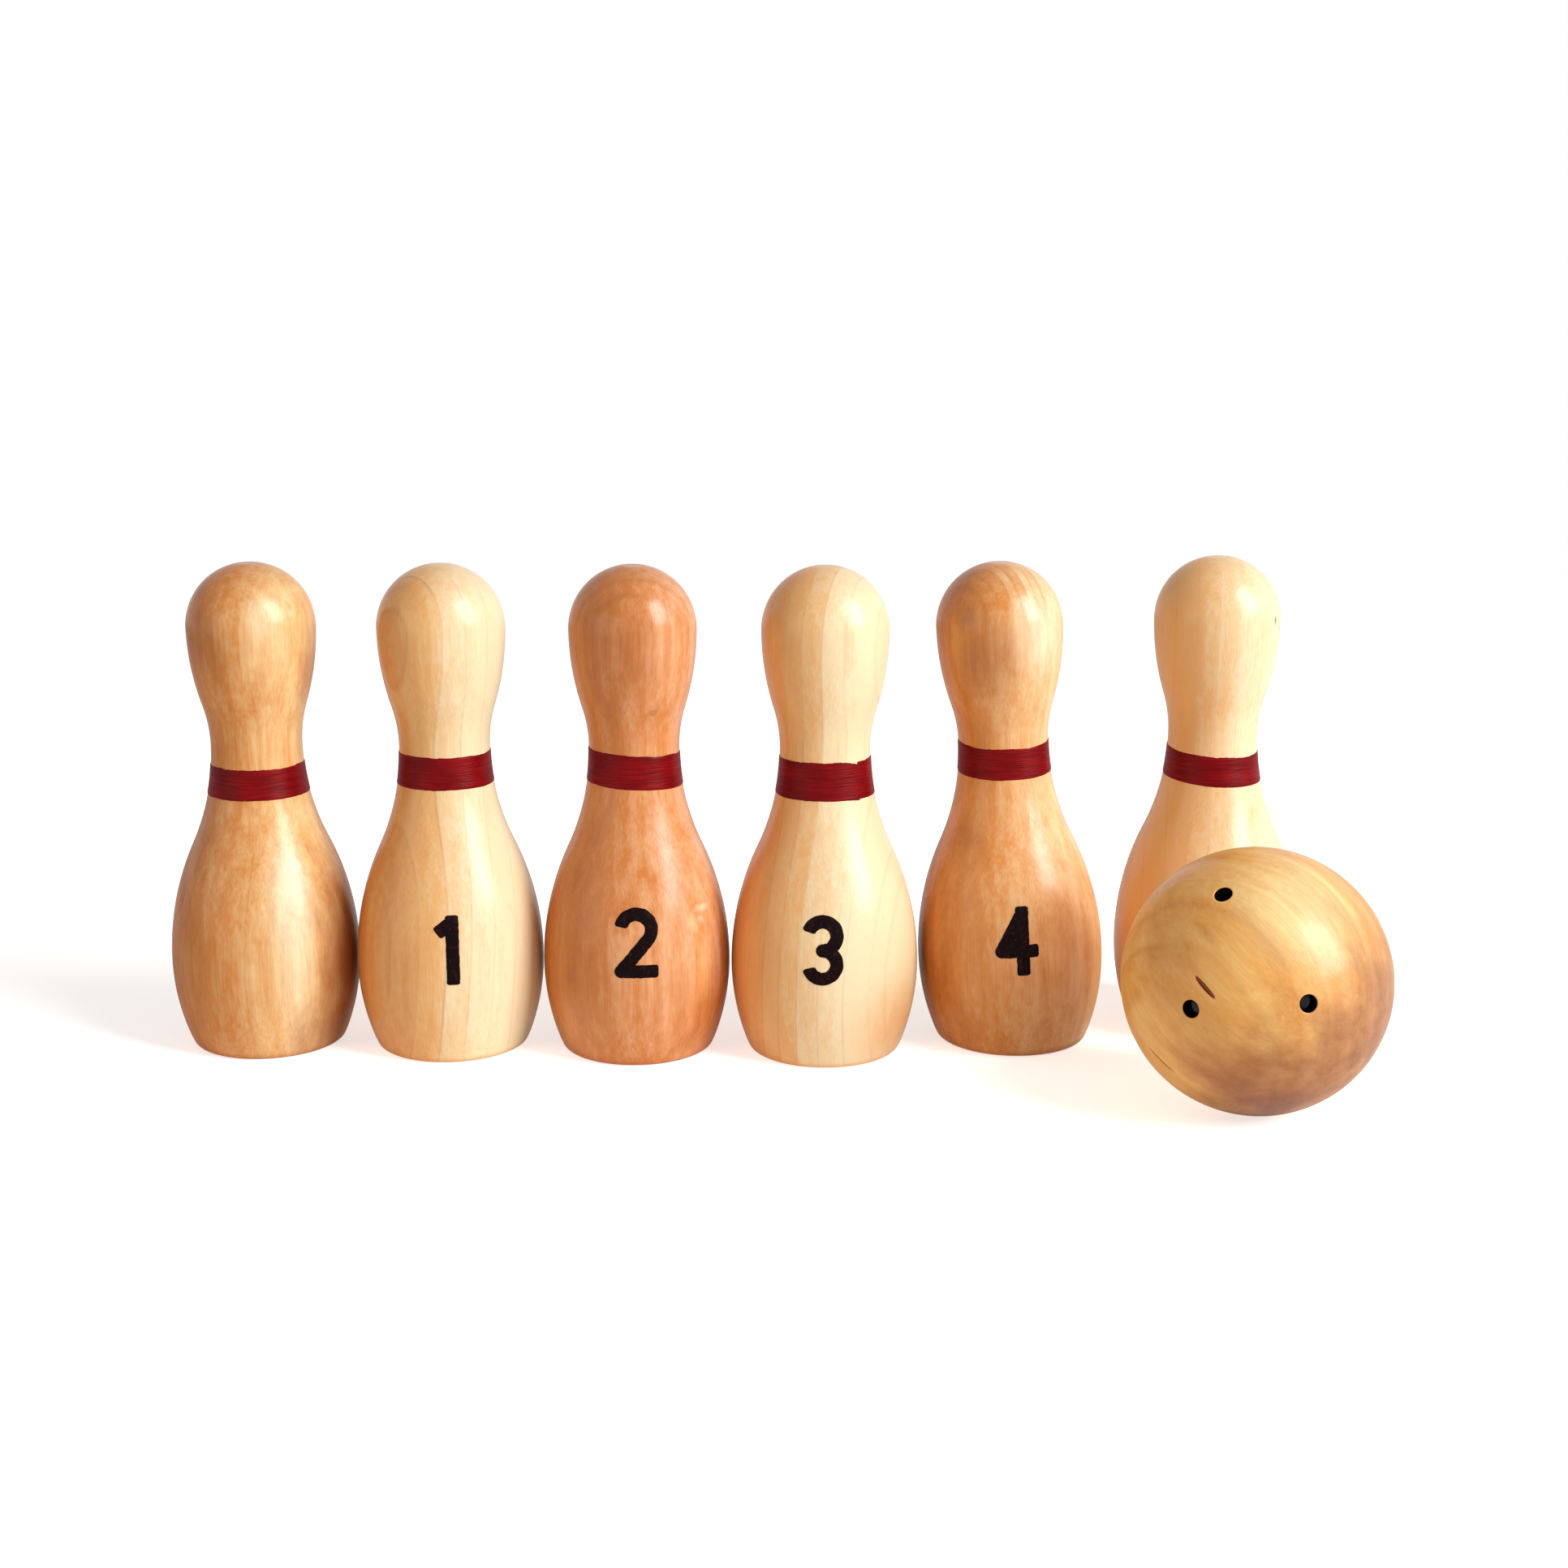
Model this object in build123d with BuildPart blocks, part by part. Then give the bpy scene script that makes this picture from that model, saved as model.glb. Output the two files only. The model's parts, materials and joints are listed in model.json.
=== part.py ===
from build123d import *
import math
import os

# A small wooden bowling set: six turned pins with a painted band round each neck,
# numerals 1 to 4 painted on the four middle pins, and a wooden ball with three finger holes.
# Millimetres, +Z up. The set stands on the floor at z = 0, +Y leads away from the player,
# and the origin is the middle of the floor that the set covers.

# Pin, turned from one blank and parted off at the crown, which leaves a small flat there.
# Heights are measured up the pin from its foot.
pin_height = 114.3
head_diameter = 29.5
crown_flat_diameter = 5.5
neck_diameter = 21.0
neck_height = 72.2
belly_diameter = 43.8
belly_height = 21.2
lower_side_radius = 52.7
foot_edge_radius = 2.0
saw_allowance = 3.0
belly_curve_share = 0.54
nape_curve_share = 0.34

# Paint: a red band round each neck, and one black numeral on each middle pin.
paint_thickness = 0.2
band_width = 7.5
numeral_height = 16.0
numeral_width = 10.0
numeral_stroke = 3.0

# Ball, with three blind finger holes that have eased mouths and end in the drill's point.
ball_diameter = 58.3
finger_hole_diameter = 3.8
finger_hole_depth = 4.0
finger_hole_easing = 0.3
drill_point_angle = 118.0

# Room between the bellies of neighbouring pins, and between the ball and the last pin.
belly_gap = 0.5
ball_gap = 10.5

# One entry for each pin, from left to right. Columns and set-backs are shares of the pitch,
# the bands' lower edges are shares of the neck's height, and their widths of band_width.
column_shares = (0.0, 1.0, 2.0, 3.0, 4.03, 5.10)
set_back_shares = (0.135, 0.084, 0.038, 0.0, 0.185, 0.418)
band_height_shares = (0.841, 0.880, 0.888, 0.857, 0.909, 0.857)
band_width_shares = (0.93, 1.00, 1.03, 1.16, 0.97, 0.92)
# The bands were painted by eye, so some of them dip, in degrees, to the front and to the right.
band_front_dips = (0, 0, 0, 0, 3.4, 3.6)
band_right_dips = (0, 0, 3.4, 0, 1.3, 2.8)
# The foot of the fifth pin was sawn out of square, so that pin leans, in degrees.
leans = (0, 0, 0, 0, -2.9, 0)

# Pins with a numeral: its digit, its bearing round the pin from the front in degrees, and
# the height of its middle as a share of the belly's height.
numerals = {2: 1, 3: 2, 4: 3, 5: 4}
numeral_bearings = {2: 9.4, 3: 3.3, 4: -2.1, 5: -0.4}
numeral_rise_shares = {2: 1.34, 3: 1.45, 4: 1.39, 5: 1.38}

# Finger holes: bearing round the ball from the front and elevation, in degrees.
finger_hole_aims = ((-37.5, 52.9), (-38.7, 1.7), (9.9, 7.6))

pitch = belly_diameter + belly_gap
belly_radius = belly_diameter / 2
ball_radius = ball_diameter / 2
columns = [share * pitch for share in column_shares]
set_backs = [share * pitch for share in set_back_shares]
ball_column = columns[-1]
ball_set_back = set_backs[-1] - belly_radius - ball_gap - ball_radius

# The footprint, from the outermost bellies and the ball, centred on the origin.
left = min(columns) - belly_radius
right = max(max(columns) + belly_radius, ball_column + ball_radius)
front = min(min(set_backs) - belly_radius, ball_set_back - ball_radius)
back = max(set_backs) + belly_radius
middle = Vector((left + right) / 2, (front + back) / 2, 0)


def between(start, end, share):
    """The point at a share of the way from start to end."""
    return Vector(*start) + (Vector(*end) - Vector(*start)) * share


def stand_plane(index):
    """The pin's own frame: origin at the foot's centre on the floor, Z up the pin."""
    foot = Vector(columns[index], set_backs[index], 0) - middle
    return Plane(foot).rotated((0, leans[index], 0))


def turn_pin(stand, proud=0):
    """Adds a turned pin to the open part, with its surface stood proud by a coat of paint."""
    crown_flat = crown_flat_diameter / 2
    head_height = pin_height - math.sqrt((head_diameter / 2) ** 2 - crown_flat ** 2)
    head = head_diameter / 2 + proud
    crown_height = head_height + math.sqrt(head ** 2 - crown_flat ** 2)
    belly_point = (belly_radius + proud, belly_height)
    neck_point = (neck_diameter / 2 + proud, neck_height)
    head_point = (head, head_height)
    # Under the belly the side curves in as one arc, down to the saw line below the foot.
    side_centre = (belly_point[0] - lower_side_radius, belly_height)
    side_sweep = math.degrees(math.asin((belly_height + saw_allowance) / lower_side_radius))
    # Between two widths the outline is two arcs that meet on the line joining them, so that
    # it stands upright at the belly, the neck and the head.
    shoulder_point = between(belly_point, neck_point, belly_curve_share)
    nape_point = between(neck_point, head_point, nape_curve_share)
    with BuildSketch(Plane(stand.origin, x_dir=stand.x_dir, z_dir=-stand.y_dir)) as half:
        with BuildLine():
            side = CenterArc(side_centre, lower_side_radius, 0, -side_sweep)
            shoulder = TangentArc(belly_point, shoulder_point, tangent=(0, 1))
            waist = TangentArc(shoulder_point, neck_point, tangent=shoulder % 1)
            nape = TangentArc(neck_point, nape_point, tangent=waist % 1)
            cheek = TangentArc(nape_point, head_point, tangent=nape % 1)
            TangentArc(head_point, (crown_flat, crown_height), tangent=cheek % 1)
            Polyline((crown_flat, crown_height), (0, crown_height), (0, -saw_allowance), side @ 1)
        make_face()
    revolve(half.sketch, axis=Axis(stand.origin, stand.z_dir))


def draw_numeral(digit):
    """Adds one brushed digit, centred on the open sketch: blunt strokes with round joints."""
    half_wide = (numeral_width - numeral_stroke) / 2
    half_high = (numeral_height - numeral_stroke) / 2
    blunt_end = numeral_stroke / 2
    with BuildLine(mode=Mode.PRIVATE) as brush:
        if digit == 1:
            flag_share = 0.6
            joints = [(0, half_high)]
            Line((0, -half_high - blunt_end), (0, half_high + blunt_end))
            Line(joints[0], (-half_wide, half_high * flag_share))
        elif digit == 2:
            bow = CenterArc((0, half_high - half_wide), half_wide, 170, -205)
            joints = [bow @ 1, (-half_wide, -half_high)]
            Line(joints[0], joints[1])
            Line(joints[1], (half_wide + blunt_end, -half_high))
        elif digit == 3:
            bow_radius = half_high / 2
            joints = [(0, 0)]
            CenterArc((0, bow_radius), bow_radius, 165, -255)
            CenterArc((0, -bow_radius), bow_radius, 90, -255)
        elif digit == 4:
            stem_share, bar_share = 0.4, 0.35
            stem = half_wide * stem_share
            bar = -half_high * bar_share
            joints = [(stem, half_high), (-half_wide, bar)]
            Line(joints[0], joints[1])
            Line(joints[1], (half_wide + blunt_end, bar))
            Line((stem, half_high + blunt_end), (stem, -half_high - blunt_end))
    for edge in brush.edges():
        trace(edge, line_width=numeral_stroke)
    with Locations(*joints):
        Circle(numeral_stroke / 2)


def export(builder, name):
    """Labels a finished piece and writes it to its own file."""
    builder.part.label = name
    export_step(builder.part, f"parts/{name}.step")


os.makedirs("parts", exist_ok=True)

for index in range(len(columns)):
    number = index + 1
    stand = stand_plane(index)

    # The pin is turned whole, sawn off flat at the floor, and its foot's edge is eased.
    with BuildPart() as pin:
        turn_pin(stand)
        split(bisect_by=Plane.XY, keep=Keep.TOP)
        fillet(pin.edges().group_by(Axis.Z)[0], foot_edge_radius)
    export(pin, f"pin_{number}")

    # The band is the skin of paint that lies between two heights of the neck.
    with BuildPart() as neck_band:
        turn_pin(stand, paint_thickness)
        add(pin.part, mode=Mode.SUBTRACT)
        lower_edge = stand.offset(neck_height * band_height_shares[index])
        dips = (band_front_dips[index], band_right_dips[index], 0)
        with BuildSketch(lower_edge.rotated(dips)):
            Circle(belly_radius)
        extrude(amount=band_width * band_width_shares[index], mode=Mode.INTERSECT)
    export(neck_band, f"pin_{number}_neck_band")

    # The numeral is the skin of paint behind its strokes, on the front of the belly.
    if number in numerals:
        facing = stand.rotated((0, 0, numeral_bearings[number]))
        rise = belly_height * numeral_rise_shares[number]
        reach = belly_radius + paint_thickness
        page_origin = stand.origin + stand.z_dir * rise - facing.y_dir * reach
        with BuildPart() as numeral:
            turn_pin(stand, paint_thickness)
            add(pin.part, mode=Mode.SUBTRACT)
            with BuildSketch(Plane(page_origin, x_dir=facing.x_dir, z_dir=-facing.y_dir)):
                draw_numeral(numerals[number])
            extrude(amount=-reach, mode=Mode.INTERSECT)
        export(numeral, f"pin_{number}_numeral")

# The ball rests on the floor in front of the last pin.
ball_centre = Vector(ball_column, ball_set_back, ball_radius) - middle
finger_hole_radius = finger_hole_diameter / 2
drill_point_depth = finger_hole_radius / math.tan(math.radians(drill_point_angle / 2))
with BuildPart() as ball:
    with Locations(ball_centre):
        Sphere(ball_radius)
    for bearing, elevation in finger_hole_aims:
        aim = Vector(0, -1, 0).rotate(Axis.X, -elevation).rotate(Axis.Z, bearing)
        mouth = Plane(ball_centre + aim * ball_radius, z_dir=aim)
        with BuildSketch(mouth.offset(-finger_hole_depth)):
            Circle(finger_hole_radius)
        extrude(amount=finger_hole_depth + finger_hole_radius, mode=Mode.SUBTRACT)
        with Locations(mouth.offset(-finger_hole_depth)):
            Cone(0, finger_hole_radius, drill_point_depth, mode=Mode.SUBTRACT,
                 align=(Align.CENTER, Align.CENTER, Align.MAX))
    mouths = ball.edges().filter_by(
        lambda edge: edge.is_closed and (edge @ 0 - ball_centre).length > ball_radius - finger_hole_easing
    )
    fillet(mouths, finger_hole_easing)
export(ball, "ball")

for index in range(len(columns)):
    foot = stand_plane(index).origin
    print(f"pin_{index + 1} foot x {foot.X:.3f} y {foot.Y:.3f}")
print(f"ball centre x {ball_centre.X:.3f} y {ball_centre.Y:.3f} z {ball_centre.Z:.3f}")
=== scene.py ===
import json
import math
from collections import namedtuple

import bmesh
import bpy
from mathutils import Matrix, Vector, noise
from mathutils.geometry import delaunay_2d_cdt


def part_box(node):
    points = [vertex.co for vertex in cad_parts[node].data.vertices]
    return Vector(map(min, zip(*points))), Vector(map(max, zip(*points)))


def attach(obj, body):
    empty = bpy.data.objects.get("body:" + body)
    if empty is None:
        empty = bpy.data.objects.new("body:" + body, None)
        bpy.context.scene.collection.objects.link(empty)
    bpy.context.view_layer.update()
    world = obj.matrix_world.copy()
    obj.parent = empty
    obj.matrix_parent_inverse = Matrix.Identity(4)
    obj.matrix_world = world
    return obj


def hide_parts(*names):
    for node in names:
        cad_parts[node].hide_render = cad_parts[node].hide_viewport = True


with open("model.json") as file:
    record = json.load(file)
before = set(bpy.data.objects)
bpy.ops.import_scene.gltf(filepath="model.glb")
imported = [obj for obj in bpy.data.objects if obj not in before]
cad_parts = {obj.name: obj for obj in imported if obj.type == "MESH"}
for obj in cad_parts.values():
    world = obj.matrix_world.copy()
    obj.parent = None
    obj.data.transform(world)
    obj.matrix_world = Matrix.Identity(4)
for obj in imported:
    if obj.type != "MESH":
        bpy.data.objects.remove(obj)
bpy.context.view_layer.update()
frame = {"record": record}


# The turned pins
# Each pin is turned on a lathe from one blank of pale hardwood whose grain runs up the pin, parted
# off at the crown, sawn flat at the foot and eased round the foot's edge, then sanded and varnished.
# Shapes are drawn in millimetres, with Z up the pin from the middle of its foot.
millimetre = 0.001
pin_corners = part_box("pin_1")
pin_height = pin_corners[1].z / millimetre
belly_radius = (pin_corners[1].x - pin_corners[0].x) / 2 / millimetre
belly_height = 21.2
neck_radius = 10.5
neck_height = 72.2
head_radius = 14.75
crown_flat_radius = 2.75
lower_side_radius = 52.7
saw_allowance = 3.0
first_ring_height = 2.7
foot_easing = 1.3
belly_curve_share = 0.54
nape_curve_share = 0.34
crown_ring_share = 0.9
pin_steps = 160
ring_spacing = 1.2
merge_distance = 0.001
floor_margin = 0.001
sharp_edge_angle = 40
leans = {5: -2.9}
pin_numbers = range(1, 7)

Arc = namedtuple("Arc", "centre bend low high")


def upright_arc(upright, other):
    """The arc that stands upright at one point of the outline and passes through another."""
    run = other - upright
    bend = run.length_squared / (2 * run.x)
    low, high = sorted((upright.y, other.y))
    return Arc(Vector((upright.x + bend, upright.y)), bend, low, high)


def pin_arcs():
    """The arcs of the pin's outline from near the foot to the crown. A bend below zero bulges."""
    head_height = pin_height - math.sqrt(head_radius ** 2 - crown_flat_radius ** 2)
    belly = Vector((belly_radius, belly_height))
    neck = Vector((neck_radius, neck_height))
    head = Vector((head_radius, head_height))
    side_centre = Vector((belly_radius - lower_side_radius, belly_height))
    shoulder_point = belly.lerp(neck, belly_curve_share)
    nape_point = neck.lerp(head, nape_curve_share)
    return (
        Arc(side_centre, -lower_side_radius, first_ring_height, belly_height),
        upright_arc(belly, shoulder_point),
        upright_arc(neck, shoulder_point),
        upright_arc(neck, nape_point),
        upright_arc(head, nape_point),
        Arc(Vector((0, head_height)), -head_radius, head_height, pin_height),
    )


def radius_at(height):
    """The pin's radius at a height above its foot."""
    for arc in pin_outline_arcs:
        if height <= arc.high:
            break
    rise = min(height, arc.high) - arc.centre.y
    return arc.centre.x - math.copysign(math.sqrt(arc.bend ** 2 - rise ** 2), arc.bend)


def pin_outline():
    """Points up the blank's outline, from the saw line below the foot to the middle of the crown."""
    points = [(0, -saw_allowance), (radius_at(-saw_allowance), -saw_allowance)]
    points.append((radius_at(first_ring_height), first_ring_height))
    for arc in pin_outline_arcs:
        reach = abs(arc.bend)
        first = math.asin((arc.low - arc.centre.y) / reach)
        last = math.asin((arc.high - arc.centre.y) / reach)
        steps = round((last - first) * reach / ring_spacing)
        for step in range(1, steps + 1):
            turn = first + (last - first) * step / steps
            radius = arc.centre.x - arc.bend * math.cos(turn)
            points.append((radius, arc.centre.y + reach * math.sin(turn)))
    points.append((crown_flat_radius * crown_ring_share, pin_height))
    points.append((0, pin_height))
    return points


def turn_on_lathe(outline, steps):
    """Spins an outline of radius and height, which starts and ends on the axis, into a closed shape."""
    shape = bmesh.new()
    points = [shape.verts.new((radius, 0, height)) for radius, height in outline]
    edges = [shape.edges.new(pair) for pair in zip(points, points[1:])]
    bmesh.ops.spin(shape, geom=points + edges, cent=(0, 0, 0), axis=(0, 0, 1), angle=math.tau,
                   steps=steps, use_merge=True)
    bmesh.ops.remove_doubles(shape, verts=shape.verts, dist=merge_distance)
    bmesh.ops.recalc_face_normals(shape, faces=shape.faces)
    return shape


def saw_foot(shape, stand):
    """Saws a turned blank off level with the floor and eases the edge of its foot."""
    up = stand.to_3x3().inverted() @ Vector((0, 0, 1))
    everything = shape.verts[:] + shape.edges[:] + shape.faces[:]
    cut = bmesh.ops.bisect_plane(shape, geom=everything, plane_co=(0, 0, 0), plane_no=up, clear_inner=True)
    rim = [part for part in cut["geom_cut"] if isinstance(part, bmesh.types.BMEdge)]
    bmesh.ops.edgeloop_fill(shape, edges=rim)
    bmesh.ops.bevel(shape, geom=rim, offset=foot_easing, offset_type="OFFSET", segments=7, profile=0.5,
                    affect="EDGES", material=-1)
    foot = [face for face in shape.faces
            if all(abs(corner.co.dot(up)) < floor_margin for corner in face.verts)]
    bmesh.ops.inset_region(shape, faces=foot, thickness=foot_easing)
    bmesh.ops.recalc_face_normals(shape, faces=shape.faces)


def set_in_place(shape, name, place, material, body):
    """Scales a finished shape to metres, puts it in its place and makes it a piece of the set."""
    bmesh.ops.transform(shape, matrix=place @ Matrix.Scale(millimetre, 4), verts=shape.verts)
    mesh = bpy.data.meshes.new(name)
    shape.to_mesh(mesh)
    shape.free()
    mesh.shade_smooth()
    mesh.set_sharp_from_angle(angle=math.radians(sharp_edge_angle))
    mesh.materials.append(material)
    piece = bpy.data.objects.new(name, mesh)
    bpy.context.scene.collection.objects.link(piece)
    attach(piece, body)
    return piece


def srgb(red, green, blue):
    """A colour given in screen values from 0 to 255."""
    shares = [part / 255 for part in (red, green, blue)]
    return [part / 12.92 if part <= 0.04045 else ((part + 0.055) / 1.055) ** 2.4 for part in shares] + [1]


def add_node(tree, kind, inputs=None, **settings):
    """Adds a node, sets it, and fills its inputs with values or with other nodes' outputs."""
    node = tree.nodes.new("ShaderNode" + kind)
    for name, value in settings.items():
        setattr(node, name, value)
    for name, value in (inputs or {}).items():
        if isinstance(value, bpy.types.NodeSocket):
            tree.links.new(value, node.inputs[name])
        else:
            node.inputs[name].default_value = value
    return node


def start_material(name):
    """A material with an empty node tree."""
    material = bpy.data.materials.new(name)
    material.use_nodes = True
    material.node_tree.nodes.clear()
    return material, material.node_tree


def in_millimetres(tree, middle=(0, 0, 0), turn=(0, 0, 0)):
    """The piece's own coordinates in millimetres, about a place and along its directions."""
    spot = add_node(tree, "TexCoord").outputs["Object"]
    place = {"Vector": spot, "Location": middle, "Rotation": turn, "Scale": [millimetre] * 3}
    return add_node(tree, "Mapping", place, vector_type="TEXTURE").outputs[0]


def calculate(tree, operation, *values):
    """One step of arithmetic on values or outputs."""
    return add_node(tree, "Math", dict(enumerate(values)), operation=operation).outputs[0]


def fade(tree, value, start, end, low=1.0, high=0.0):
    """Goes smoothly from low to high while the value goes from start to end."""
    span = {"Value": value, "From Min": start, "From Max": end, "To Min": low, "To Max": high}
    return add_node(tree, "MapRange", span, interpolation_type="SMOOTHSTEP").outputs[0]


def figure(tree, point, grain, seed, detail=2.0, low=0.3, high=0.7):
    """A soft random figure whose cells have the given widths in millimetres, stretched to 0 to 1."""
    squeezed = add_node(tree, "Mapping", {
        "Vector": point,
        "Location": (seed * 7.3, seed * 3.9, seed * 5.1),
        "Scale": [1 / width for width in grain],
    })
    cloud = add_node(tree, "TexNoise", {"Vector": squeezed.outputs[0], "Scale": 1.0, "Detail": detail})
    return fade(tree, cloud.outputs[0], low, high, 0.0, 1.0)


def mix_colours(tree, share, under, over, blend_type="MIX"):
    """Lays one colour over another by a share."""
    mix = add_node(tree, "Mix", {0: share, 6: under, 7: over}, data_type="RGBA", blend_type=blend_type)
    return mix.outputs[2]


def towards(bearing, elevation=0):
    """The direction of a bearing from the front and an elevation, in degrees."""
    bearing, elevation = math.radians(bearing), math.radians(elevation)
    return Vector((math.sin(bearing) * math.cos(elevation), -math.cos(bearing) * math.cos(elevation),
                   math.sin(elevation)))


def length_of(tree, vector):
    """The length of a vector."""
    return add_node(tree, "VectorMath", {0: vector}, operation="LENGTH").outputs["Value"]


def distance_from_z(tree, point):
    """How far a point lies from the Z axis."""
    level = add_node(tree, "VectorMath", {0: point, 1: (1, 1, 0)}, operation="MULTIPLY").outputs[0]
    return length_of(tree, level)


def wood(name, origin, turn, look, seed):
    """Varnished wood whose fibres run along Z of its place, with its rings about an unseen pith."""
    material, tree = start_material(name)
    point = in_millimetres(tree, origin, turn)

    # Growth rings: broad soft bands, with thin darker lines where the late wood ends.
    distance, bearing = look["pith"]
    about_pith = add_node(tree, "Mapping", {
        "Vector": point, "Location": towards(bearing) * distance, "Rotation": (*look["pith_lean"], 0),
    }, vector_type="TEXTURE").outputs[0]
    from_pith = distance_from_z(tree, about_pith)
    wander = figure(tree, point, (26, 26, 60), seed + 1, low=0.0, high=1.0)
    wander = calculate(tree, "MULTIPLY_ADD", wander, look["wander"], -look["wander"] / 2)
    offset = calculate(tree, "ADD", calculate(tree, "SUBTRACT", from_pith, distance), wander)
    ring_point = add_node(tree, "CombineXYZ", {0: offset, 1: seed * 11.0, 2: 0.0}).outputs[0]
    ring_tone = figure(tree, ring_point, (4.5, 1, 1), seed + 2, detail=3.0)
    line_fade = figure(tree, point, (9, 9, 45), seed + 3, low=0.35, high=0.6)
    height = add_node(tree, "SeparateXYZ", {0: point}).outputs[2]
    ring_span = fade(tree, height, *look["ring_start"], 0.0, 1.0)
    lines = 0.0
    ring_steps = 0.0
    for place, strength, step in look["rings"]:
        past_line = calculate(tree, "SUBTRACT", offset, place)
        off_line = calculate(tree, "ABSOLUTE", past_line)
        line = calculate(tree, "MULTIPLY", fade(tree, off_line, 0.0, look["line_width"]), strength)
        lines = calculate(tree, "MAXIMUM", line, lines)
        if step:
            risen = fade(tree, past_line, -0.6, 0.4, -step / 2, step / 2)
            ring_steps = calculate(tree, "ADD", risen, ring_steps)
    lines = calculate(tree, "MULTIPLY", lines, calculate(tree, "MULTIPLY_ADD", line_fade, 0.6, 0.4))
    lines = calculate(tree, "MULTIPLY", lines, ring_span)

    # Fibres, broad streaks, clouds of darker wood and the fine speckle of the rays.
    streaks = figure(tree, point, (2.4, 2.4, 60), seed + 4)
    fibres = figure(tree, point, (0.4, 0.4, 12), seed + 5)
    mottle = figure(tree, point, (8, 8, 12), seed + 6, detail=3.0)
    speckle = figure(tree, point, (1.3, 1.3, 1.9), seed + 7, detail=4.0, low=0.25, high=0.75)
    # Painted light and shade: the side towards a bearing is painted paler and the far side darker.
    painted_light_share, painted_light_bearing = look["painted_light_side"]
    across = add_node(tree, "VectorMath", {0: point, 1: towards(painted_light_bearing)}, operation="DOT_PRODUCT")
    off_middle = calculate(tree, "ADD", distance_from_z(tree, point), 3.0)
    painted_light_turn = calculate(tree, "DIVIDE", across.outputs["Value"], off_middle)
    tone = calculate(tree, "MULTIPLY_ADD", painted_light_turn, painted_light_share, look["tone"])
    texture = calculate(tree, "MULTIPLY", ring_steps, ring_span)
    for layer, weight in ((ring_tone, look["ring_tone"]), (streaks, look["streaks"]),
                          (fibres, look["fibres"]), (mottle, look["mottle"]), (speckle, look["speckle"])):
        centred = calculate(tree, "SUBTRACT", layer, 0.5)
        texture = calculate(tree, "MULTIPLY_ADD", centred, weight, texture)
    tone = calculate(tree, "ADD", tone, texture)
    grain = calculate(tree, "MULTIPLY_ADD", texture, 0.8, 1.0)
    ramp = add_node(tree, "ValToRGB", {"Fac": tone})
    ramp.color_ramp.elements[0].color = srgb(*look["deep"])
    ramp.color_ramp.elements[1].color = srgb(*look["pale"])
    ramp.color_ramp.elements.new(0.5).color = srgb(*look["middle"])

    # The darker end grain at the two ends of the fibres, made stronger at the foot as painted shade where the
    # eased edge turns under.
    low_end, high_end = look["ends"]
    crown_end = fade(tree, height, high_end - look["crown_reach"], high_end, 0.0, look["end_tone"] * 0.4)
    foot_end_and_shade = fade(tree, height, low_end, low_end + look["foot_reach"], look["end_tone"] * 1.5, 0.0)
    ends = calculate(tree, "MAXIMUM", crown_end, foot_end_and_shade)
    colour = mix_colours(tree, ends, ramp.outputs[0], srgb(*look["deep"]))

    # Marks on the blank, such as a knot, a stain or a pale bruise, and also painted shade and painted
    # highlights.
    for middle, size, strength, shade in look["marks"]:
        near = add_node(tree, "Mapping", {
            "Vector": point, "Location": middle, "Scale": size,
        }, vector_type="TEXTURE").outputs[0]
        ragged = calculate(tree, "MULTIPLY_ADD", mottle, 0.2, length_of(tree, near))
        mark = fade(tree, ragged, 0.15, 1.2, strength, 0.0)
        grained = mix_colours(tree, 1.0, srgb(*shade), grain, "MULTIPLY")
        colour = mix_colours(tree, mark, colour, grained)

    # The ring lines and tiny dark flecks run through it all.
    flecks = figure(tree, point, (0.5, 0.5, 1.7), seed + 8, low=0.66, high=0.76)
    dark = calculate(tree, "MAXIMUM", lines, calculate(tree, "MULTIPLY", flecks, look["flecks"]))
    colour = mix_colours(tree, dark, colour, srgb(*look["line"]))

    relief = calculate(tree, "ADD", fibres, speckle)
    bump = add_node(tree, "Bump", {"Height": relief, "Strength": 0.5, "Distance": 0.00002}).outputs[0]
    bare_roughness = calculate(tree, "MULTIPLY_ADD", streaks, 0.08, 0.38)
    shader = add_node(tree, "BsdfPrincipled", {
        "Base Color": colour, "Roughness": bare_roughness, "Normal": bump, "IOR": 1.5,
        "Specular IOR Level": 0.0, "Coat Weight": 0.75, "Coat Roughness": look["gloss_blur"],
        "Coat IOR": 1.5, "Coat Normal": bump,
    })
    add_node(tree, "OutputMaterial", {"Surface": shader.outputs[0]})
    return material


def on_pin(bearing, height):
    """The point of the pin's surface at a bearing round it and a height."""
    return towards(bearing) * radius_at(height) + Vector((0, 0, height))


def press_dent(shape):
    """Refines the mesh about the dent in the third pin's belly and presses it in."""
    middle = on_pin(dent_bearing, dent_height)
    outward = towards(dent_bearing)
    steep_side = (Vector((0, 0, 1)) - towards(dent_bearing + 90)).normalized()
    length = outward.cross(steep_side)
    near = [edge for edge in shape.edges if all((end.co - middle).length < dent_margin for end in edge.verts)]
    bmesh.ops.subdivide_edges(shape, edges=near, cuts=3, use_grid_fill=True)
    for point in [point for point in shape.verts if (point.co - middle).length < dent_margin]:
        spin = math.atan2(point.co.y, point.co.x)
        radius = radius_at(point.co.z)
        point.co = (math.cos(spin) * radius, math.sin(spin) * radius, point.co.z)
        offset = point.co - middle
        across = offset.dot(steep_side)
        reach = dent_steep_reach if across > 0 else dent_soft_reach
        share = min(1, math.hypot(across / reach, offset.dot(length) / dent_half_length))
        point.co -= outward * dent_depth * (1 - share * share * (3 - 2 * share))


dent_bearing = 47.0
dent_height = 35.0
dent_depth = 0.7
dent_steep_reach = 1.5
dent_soft_reach = 3.2
dent_half_length = 3.6
dent_margin = 6.5
pin_outline_arcs = pin_arcs()
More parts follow.
